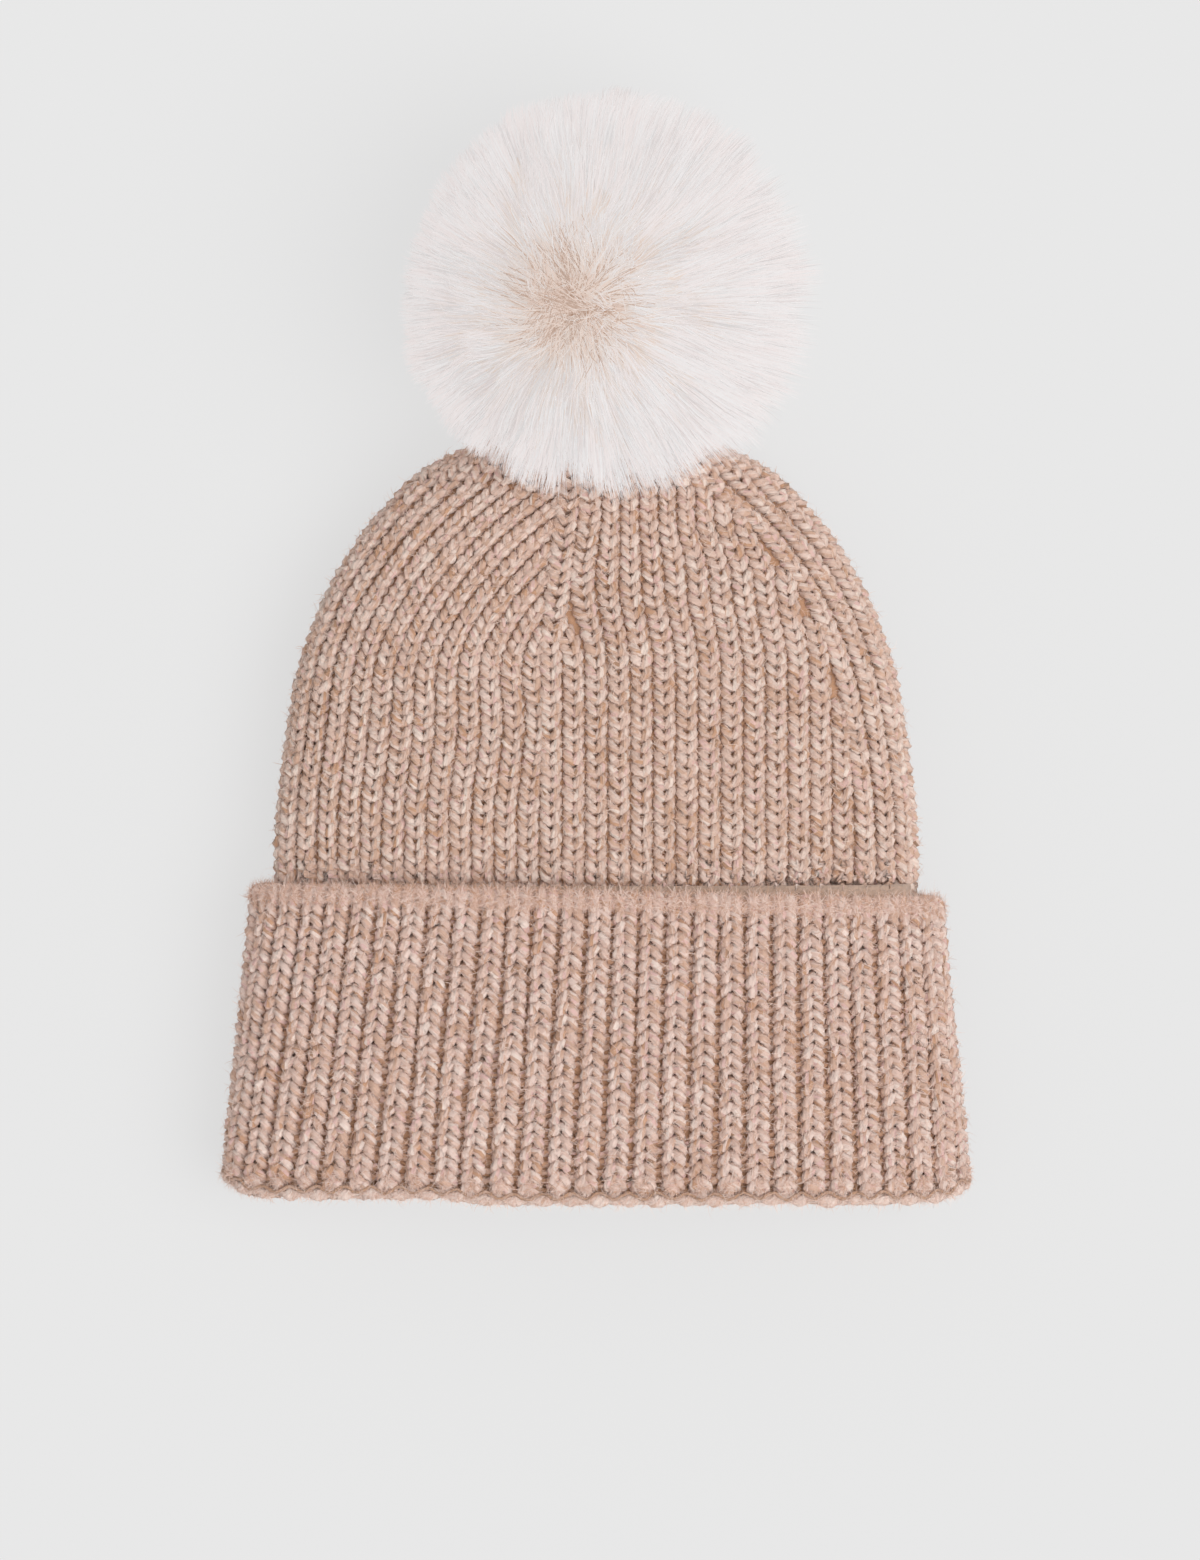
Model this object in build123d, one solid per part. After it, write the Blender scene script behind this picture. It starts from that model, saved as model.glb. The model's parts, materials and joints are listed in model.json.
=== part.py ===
"""A knitted beanie with a turned-up cuff and a detachable faux-fur pom, lying flat on its back.

Millimetres. +X is across the hat, +Y runs from the mouth towards the pom, and +Z points up
from the surface that the hat lies on. The origin is at the middle of the foot of its box.
"""
from build123d import *
from math import atan2, cos, degrees, hypot, radians, sin
import os

os.makedirs("parts", exist_ok=True)

# Whole hat
TOTAL_LENGTH = 317.2
KNIT = 6.0  # thickness of one layer of the bulky rib
LAYER_GAP = 0.4  # air between the cuff and the layer under it

# Cuff, as ellipses at its fold and at its upper edge
FOLD_Y = -TOTAL_LENGTH / 2
CUFF_TOP_Y = -66.5
CUFF_CENTRE_Z = 24.0
FOLD_HALF_WIDTH, FOLD_HALF_HEIGHT = 107.5, 25.5
TOP_HALF_WIDTH, TOP_HALF_HEIGHT = 98.0, 24.6
FOLD_DEPTH = 6.6  # length of the rounded fold at the mouth
CAST_ON_DEPTH = 4.6  # length of the round edge at the top of the cuff

# Crown, as ellipses: y, half width, centre height, half height
CROWN_START = (CUFF_TOP_Y, TOP_HALF_WIDTH - KNIT - LAYER_GAP, CUFF_CENTRE_Z, TOP_HALF_HEIGHT - KNIT - LAYER_GAP)
CROWN = [
    CROWN_START,
    (-50.0, 91.3, 23.2, 21.2),
    (-30.0, 89.2, 22.9, 22.3),
    (0.0, 83.4, 22.8, 22.1),
    (20.0, 75.0, 22.8, 20.7),
    (40.0, 61.0, 23.4, 17.6),
    (52.0, 48.0, 24.2, 14.0),
    (62.0, 26.0, 25.0, 9.6),
]
CROWN_CAVITY_END = 56.0

# Crown tip, where the pom hinges: distances below are along the snap's axis from the pivot
PIVOT = Vector(0, 62, 25)
TILT = 30.0  # the snap's axis rises towards the pom
SOCKET_RADIUS = 11.9  # room in the crown for the gathered tip to turn
TIP_RADIUS = 9.0
TIP_TOP, TIP_FOOT = 7.0, -3.0
RING_RADIUS, RING_WIRE, RING_SETBACK = 9.0, 1.2, 5.0

# Snap fastener and its felt washers
FELT = 1.2
WASHER_RADIUS = 6.2
POST_RADIUS = 1.6
RUNNING = 0.08
SEAT_GAP = 0.05
FLANGE_RADIUS, FLANGE = 5.0, 0.7
STUD_FACE = TIP_TOP + FELT + SEAT_GAP + FLANGE
BULB_RADIUS, BULB_START, BULB_TOP = 2.1, 11.2, 12.7
SOCKET_START, SOCKET_TOP, SOCKET_BODY_RADIUS = 9.3, 14.0, 6.0
MOUTH_RADIUS = BULB_RADIUS + 0.1
SPRING_WIRE, SPRING_HEIGHT = 0.3, 10.2
SPRING_RADIUS = MOUTH_RADIUS + SPRING_WIRE
RIVET_RADIUS = 1.5
CAP_RADIUS, CAP = 5.0, 0.8

# Pom
POM_RADIUS = 58.5  # over the tips of the fur
CORE_RADIUS = 30.0
SKIN = 1.2
DISC_RADIUS = 14.0
CORE_DISTANCE = (TOTAL_LENGTH / 2 - POM_RADIUS - PIVOT.Y) / cos(radians(TILT))
CORE_FLAT = SOCKET_TOP + FELT
FUR_CONE = 62.0  # half angle that keeps the fur off the crown at every tilt
FUR_CLEAR_RADIUS = 24.0

# Label sewn inside the back of the crown
LABEL_MIN, LABEL_MAX = (14.0, -52.0), (44.0, -24.0)
LABEL, STITCH = 0.6, 0.5
STITCH_INSET, STITCH_WIDTH = 1.5, 0.9
SEAM_WIDTH, SEAM_HEIGHT = 4.0, 2.6

AXIS = Plane(origin=PIVOT, x_dir=(1, 0, 0), z_dir=(0, cos(radians(TILT)), sin(radians(TILT))))


def section(y, half_width, centre_z, half_height):
    """An elliptical slice across the hat."""
    return Plane(origin=(0, y, centre_z), x_dir=(1, 0, 0), z_dir=(0, 1, 0)) * Ellipse(half_width, half_height)


def tube(stations, depth):
    """The solid inside a layer's surface, taken in by a depth."""
    return loft([section(y, a - depth, z, h - depth) for y, a, z, h in stations])


def cuff_station(y, depth=0.0):
    """The cuff's slice at y, taken in by a depth."""
    share = (y - FOLD_Y) / (CUFF_TOP_Y - FOLD_Y)
    half_width = FOLD_HALF_WIDTH + share * (TOP_HALF_WIDTH - FOLD_HALF_WIDTH) - depth
    half_height = FOLD_HALF_HEIGHT + share * (TOP_HALF_HEIGHT - FOLD_HALF_HEIGHT) - depth
    return (y, half_width, CUFF_CENTRE_Z, half_height)


def cuff_ring(start, end, outer, inner):
    """A ring of the cuff between two stations, from one depth to another."""
    stations = [cuff_station(start), cuff_station(end)]
    return tube(stations, outer) - tube(stations, inner)


def above_table(shape):
    """The shape without what would lie below the surface."""
    size = 2 * TOTAL_LENGTH
    return shape - Pos(0, 0, -size / 2) * Box(size, size, size)


def on_axis(shape):
    """Moves a shape built up +Z onto the snap's axis."""
    return AXIS.location * shape


def disc(radius, start, end, hole=0.0):
    """A round plate on the snap's axis, with an optional hole."""
    plate = Pos(0, 0, (start + end) / 2) * Cylinder(radius, end - start)
    if hole:
        plate -= Pos(0, 0, (start + end) / 2) * Cylinder(hole, end - start + 1)
    return plate


def turned(points):
    """A solid of revolution about +Z from (radius, height) points."""
    outline = make_face(Polyline(*[(r, 0, z) for r, z in points], close=True))
    return revolve(outline, Axis.Z)


# ---- hat ----
BAND_OUTER = KNIT + LAYER_GAP
BAND_INNER = BAND_OUTER + KNIT
FOLD_END = FOLD_Y + FOLD_DEPTH
CAST_ON_START = CUFF_TOP_Y - CAST_ON_DEPTH


def crown_knit():
    shell = tube(CROWN, 0) - tube(crown_cavity(), KNIT)
    return above_table(shell) - Pos(PIVOT) * Sphere(SOCKET_RADIUS)


def crown_cavity():
    """The crown's slices as far as its cavity goes, ending in one between its neighbours."""
    kept = [s for s in CROWN if s[0] < CROWN_CAVITY_END]
    low, high = kept[-1], CROWN[len(kept)]
    share = (CROWN_CAVITY_END - low[0]) / (high[0] - low[0])
    return kept + [tuple(a + share * (b - a) for a, b in zip(low, high))]


def inner_band():
    return cuff_ring(FOLD_END, CUFF_TOP_Y, BAND_OUTER, BAND_INNER)


def turned_cuff():
    return above_table(cuff_ring(FOLD_END, CAST_ON_START, 0, KNIT))


def fold_edge():
    ring = cuff_ring(FOLD_Y, FOLD_END, 0, BAND_INNER)
    rims = ring.edges().filter_by_position(Axis.Y, FOLD_Y - 0.01, FOLD_Y + 0.01)
    return above_table(chamfer(rims, FOLD_DEPTH / 2))


def cast_on_edge():
    ring = cuff_ring(CAST_ON_START, CUFF_TOP_Y, 0, KNIT)
    rims = ring.edges().filter_by_position(Axis.Y, CUFF_TOP_Y - 0.01, CUFF_TOP_Y + 0.01)
    return above_table(chamfer(rims, KNIT / 3))


def lining_layer(depth, thickness, low, high):
    """A strip on the inside of the crown's back between two (x, y) corners."""
    cavity = crown_cavity()
    layer = tube(cavity, depth) - tube(cavity, depth + thickness)
    width, length = high[0] - low[0], high[1] - low[1]
    middle = Pos((low[0] + high[0]) / 2, (low[1] + high[1]) / 2, CUFF_CENTRE_Z / 2)
    return layer & (middle * Box(width, length, CUFF_CENTRE_Z))


def back_seam():
    crown = lining_layer(KNIT, SEAM_HEIGHT, (-SEAM_WIDTH / 2, CUFF_TOP_Y), (SEAM_WIDTH / 2, CROWN[-3][0]))
    band = cuff_ring(FOLD_END, CUFF_TOP_Y, BAND_INNER, BAND_INNER + SEAM_HEIGHT)
    length = CUFF_TOP_Y - FOLD_END
    trim = Pos(0, FOLD_END + length / 2, CUFF_CENTRE_Z / 2) * Box(SEAM_WIDTH, length, CUFF_CENTRE_Z)
    return [crown, band & trim]


def care_label():
    return lining_layer(KNIT, LABEL, LABEL_MIN, LABEL_MAX)


def label_stitches():
    def corners(inset):
        return (LABEL_MIN[0] + inset, LABEL_MIN[1] + inset), (LABEL_MAX[0] - inset, LABEL_MAX[1] - inset)

    outer = lining_layer(KNIT + LABEL, STITCH, *corners(STITCH_INSET))
    inner = lining_layer(KNIT + LABEL - STITCH, 3 * STITCH, *corners(STITCH_INSET + STITCH_WIDTH))
    return outer - inner


# ---- gathered tip and snap ----
def gather_yarn():
    centre = PIVOT - Vector(0, RING_SETBACK, 0)
    return Plane(origin=centre, x_dir=(1, 0, 0), z_dir=(0, 1, 0)).location * Torus(RING_RADIUS, RING_WIRE)


def crown_gather():
    ball = Sphere(TIP_RADIUS) & disc(2 * TIP_RADIUS, TIP_FOOT, TIP_TOP)
    return on_axis(ball - Cylinder(POST_RADIUS + RUNNING, 4 * TIP_RADIUS))


def felt_washer(start):
    return on_axis(disc(WASHER_RADIUS, start, start + FELT, POST_RADIUS + RUNNING))


def snap_stud():
    seat = STUD_FACE - FLANGE
    foot = TIP_FOOT - FELT - CAP / 2
    bulb = (BULB_TOP - BULB_START) / 3
    return on_axis(
        turned(
            [
                (0, foot),
                (POST_RADIUS, foot),
                (POST_RADIUS, seat),
                (FLANGE_RADIUS, seat),
                (FLANGE_RADIUS, STUD_FACE),
                (POST_RADIUS, STUD_FACE),
                (POST_RADIUS, BULB_START),
                (BULB_RADIUS, BULB_START + bulb),
                (BULB_RADIUS, BULB_TOP - bulb),
                (POST_RADIUS, BULB_TOP),
                (0, BULB_TOP),
            ]
        )
    )


def stud_rivet_cap():
    top = TIP_FOOT - FELT - SEAT_GAP
    pocket = disc(POST_RADIUS, TIP_FOOT - FELT - CAP / 2, top)
    return on_axis(disc(CAP_RADIUS, top - CAP, top) - pocket)


def snap_socket():
    roof = SOCKET_TOP - 1.0
    body = disc(SOCKET_BODY_RADIUS, SOCKET_START, SOCKET_TOP)
    body = chamfer(body.edges().filter_by_position(Axis.Z, SOCKET_START - 0.01, SOCKET_START + 0.01), 0.8)
    body += disc(RIVET_RADIUS, SOCKET_TOP, CORE_FLAT + SKIN + CAP / 2)
    body -= disc(MOUTH_RADIUS, SOCKET_START - 1, roof)
    return on_axis(body - disc(MOUTH_RADIUS + 3 * SPRING_WIRE, *spring_groove()))


def spring_groove():
    return SPRING_HEIGHT - 1.5 * SPRING_WIRE, SPRING_HEIGHT + 1.5 * SPRING_WIRE


def socket_spring():
    ring = Torus(SPRING_RADIUS, SPRING_WIRE) - Pos(SPRING_RADIUS, 0, 0) * Box(1.2, 1.2, 1.2)
    return on_axis(Pos(0, 0, SPRING_HEIGHT) * ring)


def socket_cap():
    foot = CORE_FLAT + SKIN
    return on_axis(disc(CAP_RADIUS, foot, foot + CAP) - disc(RIVET_RADIUS, foot, foot + CAP / 2))


# ---- pom ----
def core(radius, foot):
    """A ball about the pom's centre with a flat foot."""
    ball = Pos(0, 0, CORE_DISTANCE) * Sphere(radius)
    return ball & disc(2 * CORE_RADIUS, foot, CORE_DISTANCE + 2 * CORE_RADIUS)


def pom_base_disc():
    return on_axis(disc(DISC_RADIUS, SOCKET_TOP, CORE_FLAT, RIVET_RADIUS))


def pom_backing():
    shell = core(CORE_RADIUS, CORE_FLAT) - core(CORE_RADIUS - SKIN, CORE_FLAT + SKIN)
    return on_axis(shell - disc(RIVET_RADIUS, CORE_FLAT - 1, CORE_FLAT + SKIN + 1))


def pom_stuffing():
    foot = CORE_FLAT + SKIN
    cap_room = disc(CAP_RADIUS, foot - 1, foot + CAP)
    return on_axis(core(CORE_RADIUS - SKIN, foot) - cap_room)


def pom_gather_thread():
    foot_radius = (CORE_RADIUS**2 - (CORE_DISTANCE - CORE_FLAT) ** 2) ** 0.5
    thread = 0.6
    centre = max(foot_radius, DISC_RADIUS) + thread
    return on_axis(Pos(0, 0, CORE_FLAT - thread) * Torus(centre, thread))


def pom_fur_pile():
    ball = Pos(0, 0, CORE_DISTANCE) * Sphere(POM_RADIUS)
    reach = 3 * POM_RADIUS
    cone = turned([(0, 0), (reach * sin(radians(FUR_CONE)), reach * cos(radians(FUR_CONE))), (0, reach)])
    fur = (ball & cone) - Sphere(FUR_CLEAR_RADIUS) - core(CORE_RADIUS, CORE_FLAT)
    return above_table(on_axis(fur))


PARTS = {
    "crown_knit": crown_knit,
    "inner_band": inner_band,
    "turned_cuff": turned_cuff,
    "fold_edge": fold_edge,
    "cast_on_edge": cast_on_edge,
    "back_seam": back_seam,
    "care_label": care_label,
    "label_stitches": label_stitches,
    "gather_yarn": gather_yarn,
    "crown_gather": crown_gather,
    "outer_felt_washer": lambda: felt_washer(TIP_TOP),
    "inner_felt_washer": lambda: felt_washer(TIP_FOOT - FELT),
    "snap_stud": snap_stud,
    "stud_rivet_cap": stud_rivet_cap,
    "snap_socket": snap_socket,
    "socket_spring": socket_spring,
    "socket_cap": socket_cap,
    "pom_base_disc": pom_base_disc,
    "pom_backing": pom_backing,
    "pom_stuffing": pom_stuffing,
    "pom_gather_thread": pom_gather_thread,
    "pom_fur_pile": pom_fur_pile,
}

for node, make in PARTS.items():
    made = make()
    solids = [s for shape in (made if isinstance(made, list) else [made]) for s in shape.solids()]
    export_step(Compound(children=solids) if len(solids) > 1 else solids[0], f"parts/{node}.step")
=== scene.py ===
"""The looks of a bulky knit beanie with a faux-fur pom, lying flat on a pale table.

Lengths are in millimetres until a mesh is made; MM turns them into metres. The fabric's own
coordinates are s, the way round the hat from the middle of its front, y along it, and depth below
its outer surface. Every stitch is a loop of two-ply yarn that is laid into those coordinates.
"""
import json
from math import pi, radians, tau

import bpy
import numpy as np
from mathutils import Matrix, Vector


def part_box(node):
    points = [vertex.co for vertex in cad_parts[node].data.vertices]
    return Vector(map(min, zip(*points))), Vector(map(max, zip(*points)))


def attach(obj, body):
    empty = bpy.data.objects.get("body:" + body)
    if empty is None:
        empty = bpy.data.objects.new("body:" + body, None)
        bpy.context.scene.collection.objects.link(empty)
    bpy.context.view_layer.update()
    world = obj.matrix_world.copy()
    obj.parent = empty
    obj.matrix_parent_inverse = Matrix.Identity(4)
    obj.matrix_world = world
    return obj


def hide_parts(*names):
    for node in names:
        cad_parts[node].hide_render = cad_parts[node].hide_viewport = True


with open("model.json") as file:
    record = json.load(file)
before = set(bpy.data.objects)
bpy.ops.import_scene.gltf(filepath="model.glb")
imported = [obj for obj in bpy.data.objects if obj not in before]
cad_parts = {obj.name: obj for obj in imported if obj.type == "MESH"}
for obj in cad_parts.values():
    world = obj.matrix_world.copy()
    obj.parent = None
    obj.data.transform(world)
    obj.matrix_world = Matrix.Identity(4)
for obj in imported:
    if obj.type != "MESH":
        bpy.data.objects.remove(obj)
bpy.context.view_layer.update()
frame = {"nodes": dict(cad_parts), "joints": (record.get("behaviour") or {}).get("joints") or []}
MM = 0.001
rng = np.random.default_rng(7)


# ------------------------------------------------------------------ sizes, from the frame
def box(node):
    low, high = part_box(node)
    return np.array(low) / MM, np.array(high) / MM


def joint(name):
    return next(j for j in frame["joints"] if j["name"] == name)


FOLD_Y = box("fold_edge")[0][1]
CUFF_TOP_Y = box("cast_on_edge")[1][1]
CUFF_CENTRE_Z = 24.0
KNIT = 6.0  # thickness of the knit
AXIS = np.array(joint("pom_turn")["axis"], float)  # the snap's, from the hat into the pom
CORE_LOW, CORE_HIGH = box("pom_backing")
CORE_RADIUS = (CORE_HIGH[0] - CORE_LOW[0]) / 2
POM_LOW, POM_HIGH = box("pom_fur_pile")
POM_RADIUS = (POM_HIGH[0] - POM_LOW[0]) / 2
POM_CENTRE = np.array([0.0, POM_HIGH[1] - POM_RADIUS, POM_HIGH[2] - POM_RADIUS])
WALL_FLOOR, FIBRE_FLOOR, YARN_FLOOR, HAIR_FLOOR = 0.3, 0.3, 0.4, 0.5  # the lowest that each comes over the table

# slices of each layer's outer surface: y, half width, centre height, half height
CROWN = [
    (-84.0, 92.2, 24.0, 17.6),
    (-66.5, 91.6, 24.0, 18.2),
    (-50.0, 91.3, 23.2, 21.2),
    (-30.0, 89.2, 22.9, 22.3),
    (0.0, 83.4, 22.8, 22.1),
    (20.0, 75.0, 22.8, 20.7),
    (40.0, 61.0, 23.4, 17.6),
    (52.0, 48.0, 24.2, 14.0),
    (60.0, 31.0, 25.0, 11.2),
    (64.5, 17.0, 25.4, 9.6),
    (66.5, 9.0, 26.0, 7.6),
]
CUFF = [
    (FOLD_Y, 107.5, CUFF_CENTRE_Z, 25.5),
    (-112.0, 102.7, CUFF_CENTRE_Z, 25.1),
    (CUFF_TOP_Y, 98.0, CUFF_CENTRE_Z, 24.6),
]
BAND = [(FOLD_Y, 95.1, CUFF_CENTRE_Z, 13.1), (CUFF_TOP_Y, 85.6, CUFF_CENTRE_Z, 12.2), (-20.0, 81.0, 23.0, 15.6)]
SQUARENESS = 1.95  # a slice's exponent: 2 is an ellipse, more is boxier


# ------------------------------------------------------------------ the hat's surfaces
def unit(v):
    return v / np.maximum(np.linalg.norm(v, axis=-1, keepdims=True), 1e-12)


def curve_through(ys, values, y):
    """A smooth curve through stations and its slope."""
    slopes = np.gradient(values, ys)
    i = np.clip(np.searchsorted(ys, y) - 1, 0, len(ys) - 2)
    span = ys[i + 1] - ys[i]
    t = (y - ys[i]) / span
    a, b, ma, mb = values[i], values[i + 1], slopes[i] * span, slopes[i + 1] * span
    value = a * (1 + 2 * t) * (1 - t) ** 2 + ma * t * (1 - t) ** 2 + b * t * t * (3 - 2 * t) + mb * t * t * (t - 1)
    slope = (6 * t * (t - 1) * (a - b) + ma * (1 - t) * (1 - 3 * t) + mb * t * (3 * t - 2)) / span
    return value, slope


class Layer:
    """A closed wall of the hat, sliced into superellipses along y."""

    STEP = 0.5  # from slice to slice
    FINE = 97  # places round a quarter of a slice

    def __init__(self, stations):
        self.stations = np.array(stations, float)
        self.grid = np.arange(self.stations[0, 0], self.stations[-1, 0] + self.STEP, self.STEP)
        (a, _), _, (h, _) = self.slice(self.grid)
        t = np.linspace(0, pi / 2, self.FINE)
        x = a[:, None] * np.sin(t) ** (2 / SQUARENESS)
        z = h[:, None] * np.cos(t) ** (2 / SQUARENESS)
        run = np.hypot(np.diff(x), np.diff(z)).cumsum(axis=1)
        run = np.hstack([np.zeros((len(run), 1)), run])
        self.quarters = run[:, -1]
        share = np.linspace(0, 1, self.FINE)
        self.angles = np.array([np.interp(share, r / r[-1], t) for r in run])

    def slice(self, y):
        """Half width, centre height and half height at y, each with its slope."""
        ys = self.stations[:, 0]
        return [curve_through(ys, self.stations[:, k], y) for k in (1, 2, 3)]

    def quarter(self, y):
        """The way round from the front's middle to the side edge."""
        return np.interp(y, self.grid, self.quarters)

    def at(self, y, s, depth=0.0):
        """Points, outward normals and across directions at fabric coordinates."""
        y, s, depth = np.broadcast_arrays(np.asarray(y, float), s, depth)
        m = (s / self.quarter(y) + 2) % 4 - 2
        side, back = np.where(m < 0, -1.0, 1.0), np.where(np.abs(m) > 1, -1.0, 1.0)
        share = np.where(back < 0, 2 - np.abs(m), np.abs(m)) * (self.FINE - 1)
        row = np.clip((y - self.grid[0]) / self.STEP, 0, len(self.grid) - 1.001)
        r, c = row.astype(int), np.clip(share.astype(int), 0, self.FINE - 2)
        fr, fc, t = row - r, share - c, self.angles
        below, above = (t[i, c] * (1 - fc) + t[i, c + 1] * fc for i in (r, r + 1))
        angle = below * (1 - fr) + above * fr
        (a, da), (zc, dzc), (h, dh) = self.slice(y)
        sx = np.sin(angle) ** (2 / SQUARENESS)
        cz = np.maximum(np.cos(angle), 0) ** (2 / SQUARENESS)
        p = np.stack([side * a * sx, y, zc + back * h * cz], -1)
        gx, gz = side * sx ** (SQUARENESS - 1) / a, back * cz ** (SQUARENESS - 1) / h
        gy = -(sx**SQUARENESS * da / a + cz**SQUARENESS * dh / h + gz * dzc)
        normal = unit(np.stack([gx, gy, gz], -1))
        across = unit(np.stack([gz, 0 * gx, -gx], -1))
        return p - depth[..., None] * normal, normal, across


crown_layer, cuff_layer, band_layer = Layer(CROWN), Layer(CUFF), Layer(BAND)


# ------------------------------------------------------------------ meshes
def quads_of_tubes(count, rings, sides):
    """Quad faces of many tubes whose vertices are ordered tube, ring, side."""
    tube, ring, side = np.meshgrid(np.arange(count), np.arange(rings - 1), np.arange(sides), indexing="ij")
    first = (tube * rings + ring) * sides
    after = (side + 1) % sides
    return np.stack([first + side, first + sides + side, first + sides + after, first + after], -1).reshape(-1, 4)


def uvs_of_tubes(run, sides, strands, lay):
    """Face corners' places on the yarn: u counts its fine strands, v is millimetres along it."""
    side = np.arange(sides)
    u = side * strands / sides + run[..., None] / lay
    v = np.repeat(run[..., None], sides, 2)
    step = strands / sides
    corners = [(u[:, :-1], v[:, :-1]), (u[:, 1:], v[:, 1:]), (u[:, 1:] + step, v[:, 1:]), (u[:, :-1] + step, v[:, :-1])]
    return np.stack([np.stack(c, -1) for c in corners], 3).reshape(-1, 2)


def piece(name, verts, faces, materials, body, slot, tints=None, uv=None, normals=None):
    """Makes a mesh object in metres that rides on a body. faces holds the corners of its quads."""
    mesh = bpy.data.meshes.new(name)
    mesh.vertices.add(len(verts))
    mesh.vertices.foreach_set("co", (np.asarray(verts, float) * MM).astype(np.float32).ravel())
    mesh.loops.add(faces.size)
    mesh.loops.foreach_set("vertex_index", faces.astype(np.int32).ravel())
    mesh.polygons.add(len(faces))
    mesh.polygons.foreach_set("loop_start", np.arange(0, faces.size, 4, dtype=np.int32))
    if tints is not None:
        mesh.polygons.foreach_set("material_index", np.asarray(tints, np.int32))
    mesh.polygons.foreach_set("use_smooth", np.ones(len(faces), bool))
    if uv is not None:
        mesh.uv_layers.new(name="yarn").data.foreach_set("uv", np.asarray(uv, np.float32).ravel())
    mesh.update()
    mesh.validate()
    if normals is not None:
        mesh.normals_split_custom_set_from_vertices(normals.tolist())
    for material in materials:
        mesh.materials.append(material)
    ob = bpy.data.objects.new(name, mesh)
    bpy.context.scene.collection.objects.link(ob)
    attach(ob, body)
    return ob


def ribbons(paths, facing, widths):
    """Flat ribbons along paths (n, rings, 3) whose flat sides look along facing: vertices and faces.

    widths are measured from a ribbon's middle to its edge.
    """
    n, rings, _ = paths.shape
    along = unit(np.gradient(paths, axis=1))
    side = unit(np.cross(along, facing)) * widths[..., None]
    verts = np.stack([paths - side, paths + side], 2)
    i = np.arange(n)[:, None] * rings * 2 + np.arange(rings - 1)[None] * 2
    return verts, np.stack([i, i + 1, i + 3, i + 2], -1).reshape(-1, 4)


# ------------------------------------------------------------------ materials
def principled(name, colour, rough, sheen=0.0, metal=0.0, specular=0.25, sheen_tint=(1, 1, 1)):
    material = bpy.data.materials.new(name)
    material.use_nodes = True
    p = material.node_tree.nodes["Principled BSDF"]
    p.inputs["Base Color"].default_value = (*colour, 1)
    p.inputs["Roughness"].default_value = rough
    p.inputs["Metallic"].default_value = metal
    p.inputs["Specular IOR Level"].default_value = specular
    p.inputs["Sheen Weight"].default_value = sheen
    p.inputs["Sheen Roughness"].default_value = 0.5
    p.inputs["Sheen Tint"].default_value = (*sheen_tint, 1)
    return material, p


def bumpy(material, p, scale, strength, distance):
    """Adds a fine noise to a material's surface, in the object's own coordinates."""
    nt = material.node_tree
    place = nt.nodes.new("ShaderNodeTexCoord")
    noise = nt.nodes.new("ShaderNodeTexNoise")
    noise.inputs["Scale"].default_value = scale
    noise.inputs["Detail"].default_value = 3.0
    bump = nt.nodes.new("ShaderNodeBump")
    bump.inputs["Strength"].default_value = strength
    bump.inputs["Distance"].default_value = distance
    nt.links.new(place.outputs["Object"], noise.inputs["Vector"])
    nt.links.new(noise.outputs["Fac"], bump.inputs["Height"])
    nt.links.new(bump.outputs["Normal"], p.inputs["Normal"])
    return material


def stranded(material, p):
    """Bump for the fine strands that lie twisted in a yarn, with loose fibres between them."""
    nt = material.node_tree
    place = nt.nodes.new("ShaderNodeUVMap")
    place.uv_map = "yarn"
    parts = nt.nodes.new("ShaderNodeSeparateXYZ")
    turns = nt.nodes.new("ShaderNodeMath")
    turns.operation = "MULTIPLY"
    turns.inputs[1].default_value = tau
    wave = nt.nodes.new("ShaderNodeMath")
    wave.operation = "SINE"
    mapping = nt.nodes.new("ShaderNodeMapping")
    mapping.inputs["Scale"].default_value = (4.0, 0.45, 1.0)  # the fibres' noise is drawn out along the yarn
    noise = nt.nodes.new("ShaderNodeTexNoise")
    noise.inputs["Scale"].default_value = 1.6
    noise.inputs["Detail"].default_value = 3.0
    both = nt.nodes.new("ShaderNodeMath")
    both.operation = "MULTIPLY_ADD"
    both.inputs[1].default_value = 0.22
    bump = nt.nodes.new("ShaderNodeBump")
    bump.inputs["Strength"].default_value = 0.9
    bump.inputs["Distance"].default_value = 0.0005
    nt.links.new(place.outputs["UV"], parts.inputs[0])
    nt.links.new(parts.outputs["X"], turns.inputs[0])
    nt.links.new(turns.outputs[0], wave.inputs[0])
    nt.links.new(place.outputs["UV"], mapping.inputs["Vector"])
    nt.links.new(mapping.outputs["Vector"], noise.inputs["Vector"])
    nt.links.new(wave.outputs[0], both.inputs[0])
    nt.links.new(noise.outputs["Fac"], both.inputs[2])
    nt.links.new(both.outputs[0], bump.inputs["Height"])
    nt.links.new(bump.outputs["Normal"], p.inputs["Normal"])
    return material


def yarn_tints(name, pink):
    """The shades that are spun together in the heather yarn."""
    shades = [
        ("pale", (0.85, 0.69, 0.60)),
        ("oat", (0.81, 0.625, 0.539)),
        ("beige", (0.74, 0.53, 0.438)),
        ("camel", (0.67, 0.443, 0.334)),
        ("rust", (0.60, 0.35, 0.225)),
        ("bark", (0.42, 0.25, 0.165)),
        ("rose", (0.76, 0.508, 0.452)),
    ]
    made = []
    for shade, (r, g, b) in shades:
        colour = (r, g, b * (1 + 0.02 * pink))
        material, p = principled(f"{name}_{shade}", colour, 0.9, 0.3, specular=0.15, sheen_tint=(1, 0.92, 0.86))
        made.append(stranded(material, p))
    return made


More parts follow.
